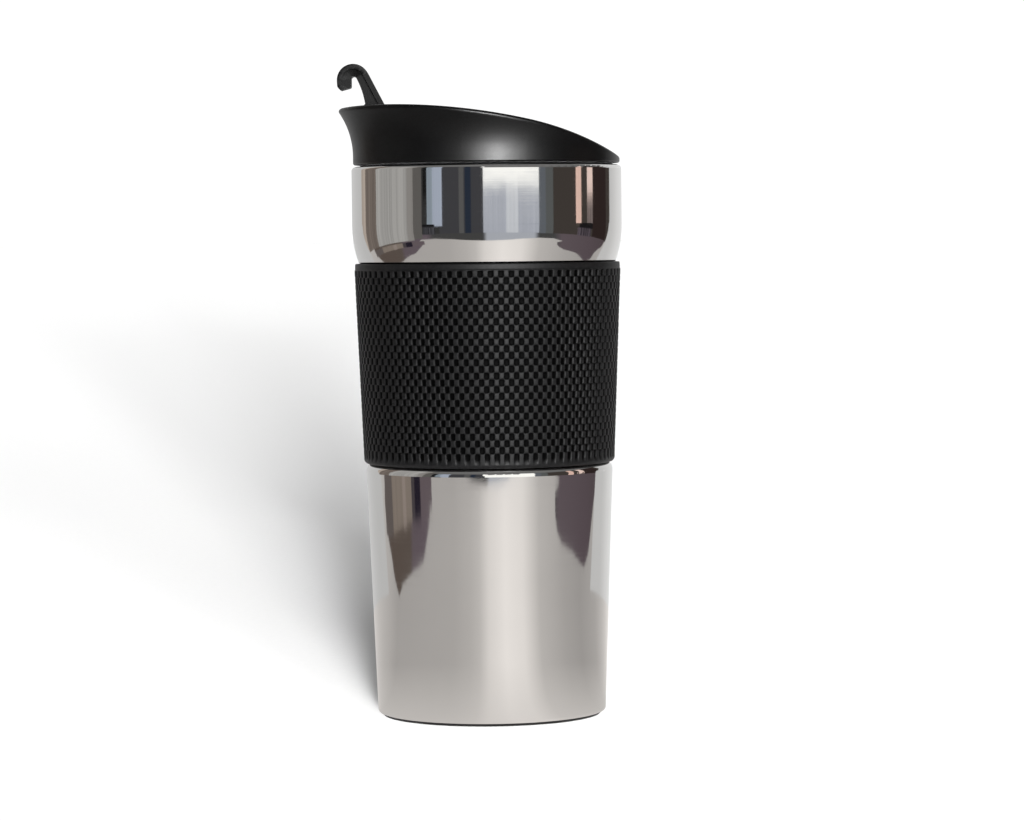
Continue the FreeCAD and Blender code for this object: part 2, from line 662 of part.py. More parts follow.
def make_lid_plug():
    """Inner moulding of the lid: hollow stem with the thread ridges, flange and a slotted floor."""
    body = piece("lid_plug")
    revolve(body, "stem", [
        ("0", "stem_low"),
        ("stem_radius - stem_bevel", "stem_low"),
        ("stem_radius", "stem_low + stem_bevel"),
        ("stem_radius", "flange_low"),
        ("flange_radius", "flange_low"),
        ("flange_radius", "flange_low + flange_thick"),
        ("stem_radius - stem_wall", "flange_low + flange_thick"),
        ("stem_radius - stem_wall", "stem_low + stem_wall"),
        ("0", "stem_low + stem_wall"),
    ])
    ridges(body, "ridge", "stem_radius - stem_wall / 4", "stem_crest", "plug_root",
           "ridge_crest", "ridge_start - ridge_step")
    step = outline(body, "flange_cut_outline", [
        ("flange_cut", "flange_low"),
        ("reach", "flange_low"),
        ("reach", "flange_low + beyond"),
        ("flange_cut", "flange_low + beyond"),
    ])
    cut(body, "flange_cut", step, "2 * reach")
    doc.recompute()
    whole = body.Shape.Volume
    slot = outline(body, "intake_outline", [
        ("intake_far", "-intake_long / 2"),
        ("intake_near", "-intake_long / 2"),
        ("intake_near", "intake_long / 2"),
        ("intake_far", "intake_long / 2"),
    ], "XY_Plane")
    intake = body.newObject("PartDesign::Pocket", "intake")
    intake.Profile = slot
    intake.Type = "ThroughAll"
    intake.SideType = "Symmetric"
    air = circle(body, "air_outline", "vent_along", "0", "2 * vent_radius")
    air_hole = body.newObject("PartDesign::Pocket", "air_hole")
    air_hole.Profile = air
    air_hole.Type = "ThroughAll"
    air_hole.SideType = "Symmetric"
    doc.recompute()
    if body.Shape.Volume > whole - SMALLEST_CUT:
        raise ValueError("the plug's slot and air hole cut nothing")


def make_lid_gasket():
    """Silicone ring around the stem that seals the lid on the steel rim."""
    body = piece("lid_gasket")
    revolve(body, "ring", [
        ("gasket_inner", "gasket_low"),
        ("gasket_outer - gasket_round", "gasket_low"),
        ("gasket_outer", "gasket_low + gasket_round", "gasket_round", 1),
        ("gasket_outer", "gasket_high - gasket_round"),
        ("gasket_outer - gasket_round", "gasket_high", "gasket_round", 1),
        ("gasket_inner", "gasket_high"),
    ])


def from_hinge(along, down):
    """A point given in the shut lever's terms: along from the hinge to the lip, and down from it."""
    return ("hinge_along - (%s) * cos(shut_angle) - (%s) * sin(shut_angle)" % (along, down),
            "hinge_high + (%s) * sin(shut_angle) - (%s) * cos(shut_angle)" % (along, down))


def on_bend(angle, radius):
    """A point on the hook's bend at an angle from +X."""
    return ("hook_along + (%s) * cos(%s)" % (radius, angle),
            "hook_high + (%s) * sin(%s)" % (radius, angle))


def down_shank(distance, inset):
    """A point on the shank's outer face, a distance below the bend and inset into the lever."""
    face = "(hook_radius - (%s))" % inset
    return ("hook_along + %s * cos(shank_lean) + (%s) * sin(shank_lean)" % (face, distance),
            "hook_high + %s * sin(shank_lean) - (%s) * cos(shank_lean)" % (face, distance))


def make_lever():
    """Lever: shank with a wide outer plate, hook that snaps over the lip, knuckle and seal foot."""
    body = piece("lever")
    claw = [
        on_bend("shank_lean", "hook_radius"),
        on_bend("180", "hook_radius") + ("hook_radius", 1),
        ("hook_along - hook_radius + tip_set", "hook_high - tip_drop"),
        ("hook_along - claw_out", "hook_high - claw_drop", "claw_round", 1),
    ]
    rib = outline(body, "rib_outline", [
        from_hinge("0", "-knuckle"),
        down_shank("shank_long", "0"),
    ] + claw + [
        ("hook_along - barb_out", "hook_high - barb_drop"),
        ("hook_along - mouth_out", "hook_high - mouth_drop", "barb_round", 1),
        ("hook_along - mouth_out", "hook_high + mouth_rise"),
        ("hook_along + throat_along", "hook_high + throat_rise", "throat_round", -1),
        ("belly_along", "belly_high", "belly_curve", -1),
        from_hinge("foot_end", "foot_tail"),
        from_hinge("foot_end", "foot_under"),
        from_hinge("foot_root", "foot_under"),
        from_hinge("0", "knuckle"),
    ])
    pad(body, "rib", rib, "rib_wide")
    plate = outline(body, "plate_outline", [
        down_shank("plate_long", "plate_thick"),
        down_shank("plate_long", "0"),
    ] + claw + [
        ("hook_along - hook_radius + plate_thick + plate_taper", "hook_high - tip_drop", "plate_round", 1),
        on_bend("180", "hook_radius - plate_thick"),
        on_bend("shank_lean", "hook_radius - plate_thick") + ("hook_radius - plate_thick", -1),
    ])
    pad(body, "plate", plate, "plate_wide")
    foot = outline(body, "foot_outline", [
        from_hinge("foot_start", "foot_upper"),
        from_hinge("foot_end", "foot_tail"),
        from_hinge("foot_end", "foot_under"),
        from_hinge("foot_start", "foot_under"),
    ])
    pad(body, "foot", foot, "seal_long")
    bore = circle(body, "bore_outline", "hinge_along", "hinge_high", "pin_radius + pin_play", "XZ_Plane")
    cut(body, "bore", bore, "2 * plate_wide")


def make_sip_seal():
    """Silicone pad under the lever's foot that covers the sip slot when the lever is shut."""
    body = piece("sip_seal")
    strip = outline(body, "strip_outline", [
        from_hinge("foot_start", "foot_under"),
        from_hinge("foot_end", "foot_under"),
        from_hinge("foot_end - seal_draft", "foot_under + seal_thick"),
        from_hinge("foot_start + seal_draft", "foot_under + seal_thick"),
    ])
    pad(body, "strip", strip, "seal_long")


def make_hinge_pin():
    """Steel pin pressed into the cover's ears, on which the lever turns."""
    pin = crosswise_cylinder("hinge_pin", "hinge_along", "hinge_high", "pin_radius",
                             "-pin_long / 2", "pin_long")
    pin.Label = "hinge_pin"


NODES = {
    "outer_shell": make_outer_shell,
    "inner_liner": make_inner_liner,
    "outer_bottom": make_outer_bottom,
    "vacuum_seal": make_vacuum_seal,
    "getter": make_getter,
    "base_pad": make_base_pad,
    "grip_band": make_grip_band,
    "lid_cover": make_lid_cover,
    "lid_plug": make_lid_plug,
    "lid_gasket": make_lid_gasket,
    "lever": make_lever,
    "sip_seal": make_sip_seal,
    "hinge_pin": make_hinge_pin,
}


def check_document():
    """Stop if any object failed to compute, or if a sub-part is not one valid solid."""
    for item in doc.Objects:
        if {"Invalid", "Error"} & set(item.State):
            raise ValueError("%s did not compute" % item.Label)
    for node in NODES:
        shape = doc.getObjectsByLabel(node)[0].Shape
        if shape.isNull() or not shape.isValid() or len(shape.Solids) != 1:
            raise ValueError("%s is not one valid solid" % node)


def write_parts():
    """Write each sub-part to its own STEP file."""
    os.makedirs(NODES_FOLDER, exist_ok=True)
    for node in NODES:
        shape = doc.getObjectsByLabel(node)[0].Shape
        shape.exportStep(os.path.join(NODES_FOLDER, node + ".step"))
        print("%-14s %9.1f mm3" % (node, shape.Volume))


for make in NODES.values():
    make()
doc.recompute()
check_document()
write_parts()
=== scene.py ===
"""Insulated travel mug: materials, the grip band's pads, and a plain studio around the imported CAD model."""
import bpy
import math
from mathutils import Matrix, Vector


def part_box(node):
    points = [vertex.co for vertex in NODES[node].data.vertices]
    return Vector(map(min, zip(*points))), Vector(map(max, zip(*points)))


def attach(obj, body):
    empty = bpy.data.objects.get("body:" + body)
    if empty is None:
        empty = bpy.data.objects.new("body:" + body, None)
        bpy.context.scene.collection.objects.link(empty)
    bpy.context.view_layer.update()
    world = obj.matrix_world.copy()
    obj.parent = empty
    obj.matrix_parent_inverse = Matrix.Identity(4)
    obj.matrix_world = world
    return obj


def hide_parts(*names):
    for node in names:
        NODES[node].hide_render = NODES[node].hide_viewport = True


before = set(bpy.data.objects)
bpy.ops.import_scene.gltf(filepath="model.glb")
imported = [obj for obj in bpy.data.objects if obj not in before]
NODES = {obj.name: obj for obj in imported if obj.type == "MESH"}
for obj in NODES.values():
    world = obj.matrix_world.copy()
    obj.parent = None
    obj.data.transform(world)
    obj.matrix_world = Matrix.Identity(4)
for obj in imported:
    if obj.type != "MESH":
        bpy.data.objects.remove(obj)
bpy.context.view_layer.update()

MM = 0.001
SCENE = bpy.context.scene

# ---------------------------------------------------------------- shader helpers

NOISE_LOW, NOISE_HIGH = 0.3, 0.7         # a noise value stays mostly between these


def new_material(name):
    """An empty node material."""
    material = bpy.data.materials.new(name)
    material.use_nodes = True
    material.node_tree.nodes.clear()
    return material


def add(tree, kind, inputs=None, **settings):
    """A node with its settings, and its inputs given as values or as the sockets to link."""
    made = tree.nodes.new("ShaderNode" + kind)
    for key, value in settings.items():
        setattr(made, key, value)
    for key, value in (inputs or {}).items():
        if isinstance(value, bpy.types.NodeSocket):
            tree.links.new(value, made.inputs[key])
        else:
            made.inputs[key].default_value = value
    return made


def math_node(tree, operation, first, second):
    """The result socket of a Math node."""
    return add(tree, "Math", {0: first, 1: second}, operation=operation).outputs[0]


def rgb(colour):
    """The three channels of a colour, or of a grey given as one number."""
    return tuple(colour) if hasattr(colour, "__len__") else (colour,) * 3


def ramp(tree, factor, stops):
    """The colour socket of a ramp through (place, colour) stops."""
    made = add(tree, "ValToRGB", {"Fac": factor})
    elements = made.color_ramp.elements
    while len(elements) < len(stops):
        elements.new(0.5)
    for element, (place, colour) in zip(elements, stops):
        element.position = place
        element.color = (*rgb(colour), 1.0)
    return made.outputs["Color"]


def object_place(tree):
    """The point on the surface, in metres, in the mug's frame."""
    return add(tree, "TexCoord").outputs["Object"]


def stretched(tree, place, scale):
    """The place scaled differently along each axis."""
    return add(tree, "Mapping", {"Vector": place, "Scale": scale}).outputs["Vector"]


def noise(tree, place, scale, detail=2.0, roughness=0.5):
    """The value of a noise texture, from 0 to 1, with its scale in cells per metre."""
    made = add(tree, "TexNoise", {"Vector": place, "Scale": scale, "Detail": detail, "Roughness": roughness})
    return made.outputs["Fac"]


def spread(tree, value, low, high, out_low, out_high):
    """A value mapped from one range to another, clamped."""
    made = add(tree, "MapRange", {"Value": value, "From Min": low, "From Max": high,
                                  "To Min": out_low, "To Max": out_high})
    return made.outputs["Result"]


def uneven(tree, value, out_low, out_high):
    """A noise value mapped to a range."""
    return spread(tree, value, NOISE_LOW, NOISE_HIGH, out_low, out_high)


def mottled(tree, value, dark, light, low=NOISE_LOW, high=NOISE_HIGH):
    """A colour that runs from dark to light with a noise value."""
    return ramp(tree, value, [(low, dark), (high, light)])


def bump(tree, height, distance, under=None):
    """A normal bent by a height of up to a distance in metres."""
    inputs = {"Height": height, "Distance": distance, "Strength": 1.0}
    if under is not None:
        inputs["Normal"] = under
    return add(tree, "Bump", inputs).outputs["Normal"]


def surface(tree, inputs):
    """The shader and the output of a material."""
    shader = add(tree, "BsdfPrincipled", inputs)
    add(tree, "OutputMaterial", {"Surface": shader.outputs["BSDF"]})


# ---------------------------------------------------------------- materials

TURNED_SCALE = (22.0, 22.0, 2600.0)      # turned scratches: long around the mug, fine along its axis
CLOUD_SHADE = 0.97                       # how dark the steel's clouds are
SMUDGE_LOW, SMUDGE_HIGH = 0.12, 0.42     # range of smudge times scratch
PIT_STARTS, PIT_FULL = 0.2, 0.9          # depths between which the painted shade in a pit deepens
PIT_PAINTED_SHADE = 0.12                         # how dark the painted shade on a pit's floor is


def steel(name, tone, rough, wave, scratch):
    """Stainless steel with slow waves, fine turned scratches and faint smudges."""
    material = new_material(name)
    tree = material.node_tree
    place = object_place(tree)
    cloud = noise(tree, place, scale=38.0, detail=3.0, roughness=0.55)
    turned = noise(tree, stretched(tree, place, TURNED_SCALE), scale=1.0)
    smudge = noise(tree, place, scale=120.0, detail=4.0, roughness=0.6)
    smudged = math_node(tree, "MULTIPLY", smudge, turned)
    surface(tree, {
        "Base Color": mottled(tree, cloud, [c * CLOUD_SHADE for c in tone], tone),
        "Metallic": 1.0,
        "Roughness": spread(tree, smudged, SMUDGE_LOW, SMUDGE_HIGH, *rough),
        "Normal": bump(tree, turned, scratch, under=bump(tree, cloud, wave)),
    })
    return material


def moulding(name, dark, light, rough, grain, depth, sheen=0.5):
    """Moulded plastic with a fine spark-eroded grain and a slow unevenness of its sheen."""
    material = new_material(name)
    tree = material.node_tree
    place = object_place(tree)
    fine = noise(tree, place, scale=grain, roughness=0.6)
    slow = noise(tree, place, scale=55.0, detail=3.0)
    surface(tree, {
        "Base Color": mottled(tree, fine, dark, light, low=0.35),
        "Roughness": uneven(tree, slow, *rough),
        "Specular IOR Level": sheen,
        "Normal": bump(tree, fine, depth),
    })
    return material


def silicone(name, dark, light, rough, sheen=0.45, pits=None):
    """Soft silicone: matte and dusty, with painted shade where the mesh attribute named by pits is high: a
    darker colour and a dimmer reflection there.
    """
    material = new_material(name)
    tree = material.node_tree
    place = object_place(tree)
    dust = noise(tree, place, scale=900.0, detail=4.0, roughness=0.65)
    slow = noise(tree, place, scale=70.0, detail=3.0)
    inputs = {
        "Base Color": mottled(tree, dust, dark, light, high=0.75),
        "Roughness": uneven(tree, slow, *rough),
        "Specular IOR Level": sheen,
        "Normal": bump(tree, dust, 0.02 * MM),
    }
    # Painted shade: the deeper a point lies in a pit, the darker its colour and the dimmer its reflection.
    if pits:
        depth = add(tree, "Attribute", attribute_name=pits).outputs["Fac"]
        shade = spread(tree, depth, PIT_STARTS, PIT_FULL, 1.0, PIT_PAINTED_SHADE)
        painted_shade_colour = add(tree, "VectorMath", {0: inputs["Base Color"], "Scale": shade}, operation="SCALE")
        tint = add(tree, "CombineXYZ", {"X": shade, "Y": shade, "Z": shade})
        inputs["Base Color"] = painted_shade_colour.outputs[0]
        inputs["Specular Tint"] = tint.outputs["Vector"]
    surface(tree, inputs)
    return material


def glass_bead(name):
    """Fused sealing glass with small bubbles."""
    material = new_material(name)
    tree = material.node_tree
    bubbles = noise(tree, object_place(tree), scale=1500.0)
    surface(tree, {
        "Base Color": mottled(tree, bubbles, (0.10, 0.13, 0.11), (0.26, 0.31, 0.27)),
        "Roughness": uneven(tree, bubbles, 0.06, 0.2),
        "Coat Weight": 0.6,
        "Normal": bump(tree, bubbles, 0.03 * MM),
    })
    return material


def sintered(name):
    """Pressed metal powder."""
    material = new_material(name)
    tree = material.node_tree
    grains = noise(tree, object_place(tree), scale=2600.0, detail=3.0, roughness=0.7)
    surface(tree, {
        "Base Color": mottled(tree, grains, (0.10, 0.10, 0.105), (0.24, 0.24, 0.25)),
        "Metallic": 0.8,
        "Roughness": uneven(tree, grains, 0.5, 0.8),
        "Normal": bump(tree, grains, 0.05 * MM),
    })
    return material


MATERIALS = {
    "outer_shell": steel("polished_steel", tone=(0.80, 0.79, 0.775), rough=(0.035, 0.075),
                         wave=0.02 * MM, scratch=0.0004 * MM),
    "inner_liner": steel("liner_steel", tone=(0.62, 0.615, 0.605), rough=(0.22, 0.34),
                         wave=0.02 * MM, scratch=0.002 * MM),
    "outer_bottom": steel("bottom_steel", tone=(0.60, 0.595, 0.585), rough=(0.25, 0.4),
                          wave=0.02 * MM, scratch=0.003 * MM),
    "hinge_pin": steel("pin_steel", tone=(0.66, 0.655, 0.65), rough=(0.15, 0.25),
                       wave=0.005 * MM, scratch=0.001 * MM),
    "vacuum_seal": glass_bead("seal_bead"),
    "getter": sintered("getter_metal"),
    "base_pad": silicone("pad_rubber", dark=0.012, light=0.028, rough=(0.6, 0.8)),
    # The band's pits get painted shade from the pit attribute.
    "grip_band": silicone("band_silicone", dark=(0.010, 0.010, 0.011), light=(0.022, 0.022, 0.023),
                          rough=(0.44, 0.54), sheen=0.17, pits="pit"),
    "lid_cover": moulding("lid_plastic", dark=(0.003, 0.003, 0.0032), light=(0.007, 0.007, 0.0075),
                          rough=(0.31, 0.38), grain=3200.0, depth=0.012 * MM, sheen=0.14),
    "lid_plug": moulding("plug_plastic", dark=0.02, light=0.035, rough=(0.4, 0.55), grain=2200.0,
                         depth=0.01 * MM),
    "lever": moulding("lever_plastic", dark=(0.005, 0.005, 0.0052), light=(0.010, 0.010, 0.0105),
                      rough=(0.34, 0.42), grain=3000.0, depth=0.012 * MM, sheen=0.08),
    "lid_gasket": silicone("seal_silicone", dark=(0.26, 0.26, 0.27), light=(0.34, 0.34, 0.35),
                           rough=(0.45, 0.6)),
}
MATERIALS["sip_seal"] = MATERIALS["lid_gasket"]

for node_name, node_material in MATERIALS.items():
    node_mesh = NODES[node_name].data
    node_mesh.materials.clear()
    node_mesh.materials.append(node_material)

# ---------------------------------------------------------------- pieces

FLAT_WEIGHT = 90                         # how far a piece's large faces set its normals
BEVEL_SEGMENTS = 2
WELD_REACH = 0.001 * MM


def flatten_faces(thing):
    """Let the large faces of a piece set its normals."""
    flat = thing.modifiers.new("flat_faces", "WEIGHTED_NORMAL")
    flat.weight = FLAT_WEIGHT


def soften_edges(thing, width, angle):
    """Round the edges of a piece that are sharper than an angle, as moulding does."""
    weld = thing.modifiers.new("weld", "WELD")
    weld.merge_threshold = WELD_REACH
    bevel = thing.modifiers.new("soft_edges", "BEVEL")
    bevel.width = width
    bevel.segments = BEVEL_SEGMENTS
    bevel.limit_method = "ANGLE"
    bevel.angle_limit = math.radians(angle)
    flatten_faces(thing)


soften_edges(NODES["lever"], width=0.22 * MM, angle=50)

COLUMNS = 164                            # cells around the band, pads and pits by turns
ROWS = 28                                # cells from the pattern's foot to its top
PATTERN_LOW = 77.45 * MM
PATTERN_HIGH = 132.15 * MM
PATTERN_TURN = math.radians(-2.02)       # where the first column starts, from the front
PIT_DEPTH = 0.55 * MM
CELL_STEPS = (0.06, 0.20, 0.80, 0.94)    # places of the points across a cell, and up it
# Depth of a cell's points as a share of PIT_DEPTH: rows from its top to its foot.
PAD_RELIEF = (
    (0.16, 0.10, 0.10, 0.16), (0.05, 0.0, 0.0, 0.05), (0.03, 0.0, 0.0, 0.03), (0.08, 0.04, 0.04, 0.08),
)
PIT_RELIEF = (
    (0.45, 0.90, 0.90, 0.45), (0.92, 1.0, 1.0, 0.92), (0.92, 1.0, 1.0, 0.92), (0.50, 0.94, 0.94, 0.50),
)
BAND_THICK = 1.8 * MM
BAND_ROUND = 1.3 * MM                    # radius of the band's lower edge
BAND_ROUND_STEPS = 6
BAND_RIM = 2.0 * MM                      # height of the plain strip along the band's upper edge
# The strip's outline from its foot to its top, in mm: how far it lies inside the slope, and below the top.
STRIP_OUTLINE = ((0.0, 2.0), (0.15, 1.93), (0.18, 1.2), (0.20, 0.45), (0.27, 0.14), (0.40, 0.03), (0.60, 0.0))
RING_NEAR = 0.1 * MM                     # how close to a height a point counts as at it


def widest_near(height):
    """The outer radius of the CAD band near a height."""
    near = [v.co for v in NODES["grip_band"].data.vertices if abs(v.co.z - height) < RING_NEAR]
    return max(math.hypot(place.x, place.y) for place in near)


def band_rings():
    """Rings from the band's inside foot, over the pattern, to its inside top: (radius, height, row, step)."""
    (_, _, low), (_, _, high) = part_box("grip_band")
    foot, strip = low + BAND_ROUND, high - BAND_RIM
    foot_radius, strip_radius = widest_near(foot), widest_near(strip)
    slope = (strip_radius - foot_radius) / (strip - foot)
    rings = [(foot_radius - BAND_THICK, low, None, None)]
    for step in range(BAND_ROUND_STEPS + 1):
        turn = math.radians(90 * step / BAND_ROUND_STEPS)
        inset, above = BAND_ROUND * (1 - math.sin(turn)), BAND_ROUND * (1 - math.cos(turn))
        rings.append((foot_radius - inset, low + above, None, None))
    pitch = (PATTERN_HIGH - PATTERN_LOW) / ROWS
    for row in range(ROWS):
        for step, share in enumerate(CELL_STEPS):
            height = PATTERN_LOW + (row + share) * pitch
            rings.append((foot_radius + slope * (height - foot), height, row, step))
    for inset, below in STRIP_OUTLINE:
        rings.append((strip_radius - inset * MM, high - below * MM, None, None))
    rings.append((strip_radius + slope * BAND_RIM - BAND_THICK, high, None, None))
    return rings


def make_band():
    """The silicone sleeve with its checker of raised pads and pits."""
    steps = len(CELL_STEPS)
    around = COLUMNS * steps
    points, faces, pits = [], [], []
    rings = band_rings()
    for radius, height, row, step in rings:
        for index in range(around):
            column, across = divmod(index, steps)
            turn = (column + CELL_STEPS[across]) / COLUMNS * math.tau + PATTERN_TURN
            sunk = 0.0
            if row is not None:
                relief = PAD_RELIEF if (row + column) % 2 else PIT_RELIEF
                sunk = relief[steps - 1 - step][across]
            pits.append(sunk)
            reach = radius - sunk * PIT_DEPTH
            points.append((reach * math.sin(turn), -reach * math.cos(turn), height))
    for ring in range(len(rings)):
        above = (ring + 1) % len(rings)
        for index in range(around):
            beside = (index + 1) % around
            faces.append((ring * around + index, ring * around + beside,
                          above * around + beside, above * around + index))
    mesh = bpy.data.meshes.new("grip_band_pads")
    mesh.from_pydata(points, [], faces)
    # The pit attribute holds each point's depth share, which the band's material turns into painted shade.
    mesh.attributes.new("pit", "FLOAT", "POINT").data.foreach_set("value", pits)
    mesh.materials.append(MATERIALS["grip_band"])
    mesh.shade_smooth()
    band = bpy.data.objects.new("grip_band_pads", mesh)
    SCENE.collection.objects.link(band)
    flatten_faces(band)
    return band


grip_band_pads = make_band()
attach(grip_band_pads, "mug")
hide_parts("grip_band")

# ---------------------------------------------------------------- the room that the steel mirrors

STEEL_SHARE = 0.8                        # share of the light that the steel mirrors
CARD_STEP = 2                            # degrees between the edges of a card's faces
FOLD_SCALE = (38.0, 38.0, 0.6)           # folds of cloth: narrow across, long upright
NEAR_FROM = 0.04                         # radius inside which a floor shines evenly, as far as NEAR_SHARE
NEAR_SHARE = 0.6


def plain_mesh(name, points, faces, material):
    """A stage mesh from its points and faces."""
    mesh = bpy.data.meshes.new(name)
    mesh.from_pydata(points, [], faces)
    mesh.materials.append(material)
    thing = bpy.data.objects.new(name, mesh)
    SCENE.collection.objects.link(thing)
    return thing


def mirrored_mesh(name, points, faces, material):
    """A stage mesh that shows in reflections and nowhere else."""
    thing = plain_mesh(name, points, faces, material)
    thing.visible_camera = False
    thing.visible_diffuse = False
    thing.visible_shadow = False
    thing.visible_transmission = False
    thing.visible_volume_scatter = False


def on_circle(radius, azimuth, height):
    """A point by its azimuth in degrees, from behind the camera (0) round by the right (90)."""
    turn = math.radians(azimuth)
    return Vector((radius * math.sin(turn), -radius * math.cos(turn), height))


def glow(name, colour, folds=0.0):
    """A material that shines, with soft upright folds as of cloth when folds is over 0."""
    material = new_material(name)
    tree = material.node_tree
    inputs = {"Color": (*(c / STEEL_SHARE for c in colour), 1.0)}
    if folds:
        place = stretched(tree, object_place(tree), FOLD_SCALE)
        fine = noise(tree, place, scale=1.0, detail=3.0, roughness=0.6)
        inputs["Strength"] = uneven(tree, fine, 1.0 - folds, 1.0 + folds)
    shine = add(tree, "Emission", inputs)
    add(tree, "OutputMaterial", {"Surface": shine.outputs["Emission"]})
    return material


def azimuth_glow(name, stops, tint=(1.0, 1.0, 1.0), near=None):
    """A material that shines by a table of (azimuth in degrees, grey or colour).

    near is a level and a radius: inside that radius the shine blends to the level."""
    material = new_material(name)
    tree = material.node_tree
    place = object_place(tree)
    parts = add(tree, "SeparateXYZ", {"Vector": place})
    forward = math_node(tree, "MULTIPLY", parts.outputs["Y"], -1.0)
    turned = math_node(tree, "ARCTAN2", parts.outputs["X"], forward)
    share = spread(tree, turned, -math.pi, math.pi, 0.0, 1.0)
    places = [((azimuth + 180.0) / 360.0, [c * t / STEEL_SHARE for c, t in zip(rgb(value), tint)])
              for azimuth, value in stops]
    shown = add(tree, "Emission", {"Color": ramp(tree, share, places)}).outputs["Emission"]
    if near:
        level, reach = near
        distance = add(tree, "VectorMath", {0: place}, operation="LENGTH").outputs["Value"]
        close = spread(tree, distance, NEAR_FROM, reach, NEAR_SHARE, 0.0)
        even = add(tree, "Emission", {"Color": (*(level * t / STEEL_SHARE for t in tint), 1.0)})
        shown = add(tree, "MixShader", {0: close, 1: shown, 2: even.outputs["Emission"]}).outputs[0]
    add(tree, "OutputMaterial", {"Surface": shown})
    return material


# Cards: name, distance, azimuth range, height range, colour, folds.
ROOM = [
    ("wall_left", 1.00, (-132, -60), (-0.05, 0.6), (0.06, 0.05, 0.045), 0.0),
    ("post_left", 0.52, (-131, -122), (0.03, 0.6), (0.36, 0.31, 0.27), 0.2),
    ("post_dark", 0.52, (-122, -105), (0.03, 0.6), (0.15, 0.125, 0.11), 0.4),
    ("panel_left", 0.52, (-105, -69), (0.03, 0.6), (0.33, 0.325, 0.315), 0.25),
    ("panel_edge", 0.52, (-69, -63), (0.03, 0.6), (0.23, 0.22, 0.21), 0.1),
    ("panel_side", 0.56, (-63, -55), (0.03, 0.6), (0.10, 0.095, 0.09), 0.0),
    ("foot_brown", 0.48, (-113, -101.5), (-0.002, 0.03), (0.105, 0.09, 0.085), 0.0),
    ("foot_beige", 0.48, (-101.5, -76), (-0.002, 0.03), (0.195, 0.163, 0.14), 0.08),
    ("foot_light", 0.475, (-87, -83), (-0.002, 0.03), (0.24, 0.20, 0.178), 0.0),
    ("foot_edge", 0.48, (-76, -72.5), (-0.002, 0.03), (0.055, 0.047, 0.052), 0.0),
    ("foot_navy", 0.48, (-72.5, -66), (-0.002, 0.03), (0.015, 0.012, 0.02), 0.0),
    ("foot_mauve", 0.48, (-66, -54), (-0.002, 0.03), (0.11, 0.088, 0.097), 0.0),
    ("gap_left", 1.00, (-57, -51), (-0.05, 0.6), (0.03, 0.03, 0.03), 0.0),
    ("side_window", 0.99, (-51, -46), (0.08, 0.6), (0.22, 0.26, 0.30), 0.1),
    ("side_window_light", 0.99, (-46, -37.5), (0.08, 0.6), (0.33, 0.37, 0.45), 0.1),
    ("wall_front", 1.00, (-40, -3), (-0.05, 0.6), (0.045, 0.045, 0.05), 0.0),
    ("wall_stripe", 0.99, (-23, -19), (-0.05, 0.6), (0.085, 0.085, 0.085), 0.0),
    ("wall_blue", 0.99, (-18, -13), (-0.05, 0.6), (0.018, 0.025, 0.04), 0.0),
    ("window_low", 1.00, (-3, 44), (0.0, 0.6), (0.36, 0.38, 0.43), 0.1),
    ("window_bright", 0.99, (16, 26), (0.0, 0.6), (0.50, 0.52, 0.56), 0.1),
    ("window_sill", 0.98, (-14, 52), (0.098, 0.106), (0.10, 0.12, 0.15), 0.0),
    ("window_high", 0.98, (-3, 44), (0.171, 0.6), (0.98, 0.98, 0.95), 0.0),
    ("wall_right", 1.00, (44, 130), (-0.05, 0.6), (0.045, 0.038, 0.034), 0.0),
    ("window_fade", 0.99, (44, 50), (-0.05, 0.6), (0.10, 0.11, 0.125), 0.0),
    ("wall_grey", 0.99, (50, 57), (-0.05, 0.6), (0.085, 0.09, 0.09), 0.0),
    ("wall_shade", 0.99, (100, 120), (-0.05, 0.6), (0.024, 0.016, 0.015), 0.0),
    ("side_window_bar", 0.975, (-54.5, -51), (0.163, 0.6), (0.008, 0.008, 0.008), 0.0),
    ("curtain_near", 0.98, (80, 86), (0.11, 0.6), (0.67, 0.46, 0.39), 0.15),
    ("curtain_far", 0.98, (93, 100), (0.165, 0.6), (0.75, 0.58, 0.52), 0.15),
    ("curtain_foot", 0.98, (93, 100), (0.11, 0.165), (0.16, 0.13, 0.125), 0.5),
    ("stool_left_top", 0.96, (-55.5, -46), (0.114, 0.119), (0.008, 0.008, 0.009), 0.0),
    ("stool_left", 0.96, (-57, -44.5), (0.078, 0.114), (0.008, 0.008, 0.009), 0.0),
    ("stool_left_legs", 0.96, (-55, -44), (0.0, 0.078), (0.04, 0.04, 0.045), 0.9),
    ("stool_right_top", 0.96, (86, 98), (0.113, 0.117), (0.010, 0.009, 0.010), 0.0),
    ("stool_right", 0.96, (84, 100), (0.078, 0.113), (0.010, 0.009, 0.010), 0.0),
    ("stool_right_legs", 0.96, (82, 98), (0.0, 0.078), (0.06, 0.05, 0.06), 0.9),
]


def room_card(name, radius, turn, heights, colour, folds):
    """A curved card of the room."""
    steps = max(2, round((turn[1] - turn[0]) / CARD_STEP))
    azimuths = [turn[0] + (turn[1] - turn[0]) * i / steps for i in range(steps + 1)]
    points = [on_circle(radius, azimuth, height) for azimuth in azimuths for height in heights]
    faces = [(2 * i, 2 * i + 2, 2 * i + 3, 2 * i + 1) for i in range(steps)]
    mirrored_mesh(name, points, faces, glow(name, colour, folds))


for card in ROOM:
    room_card(*card)

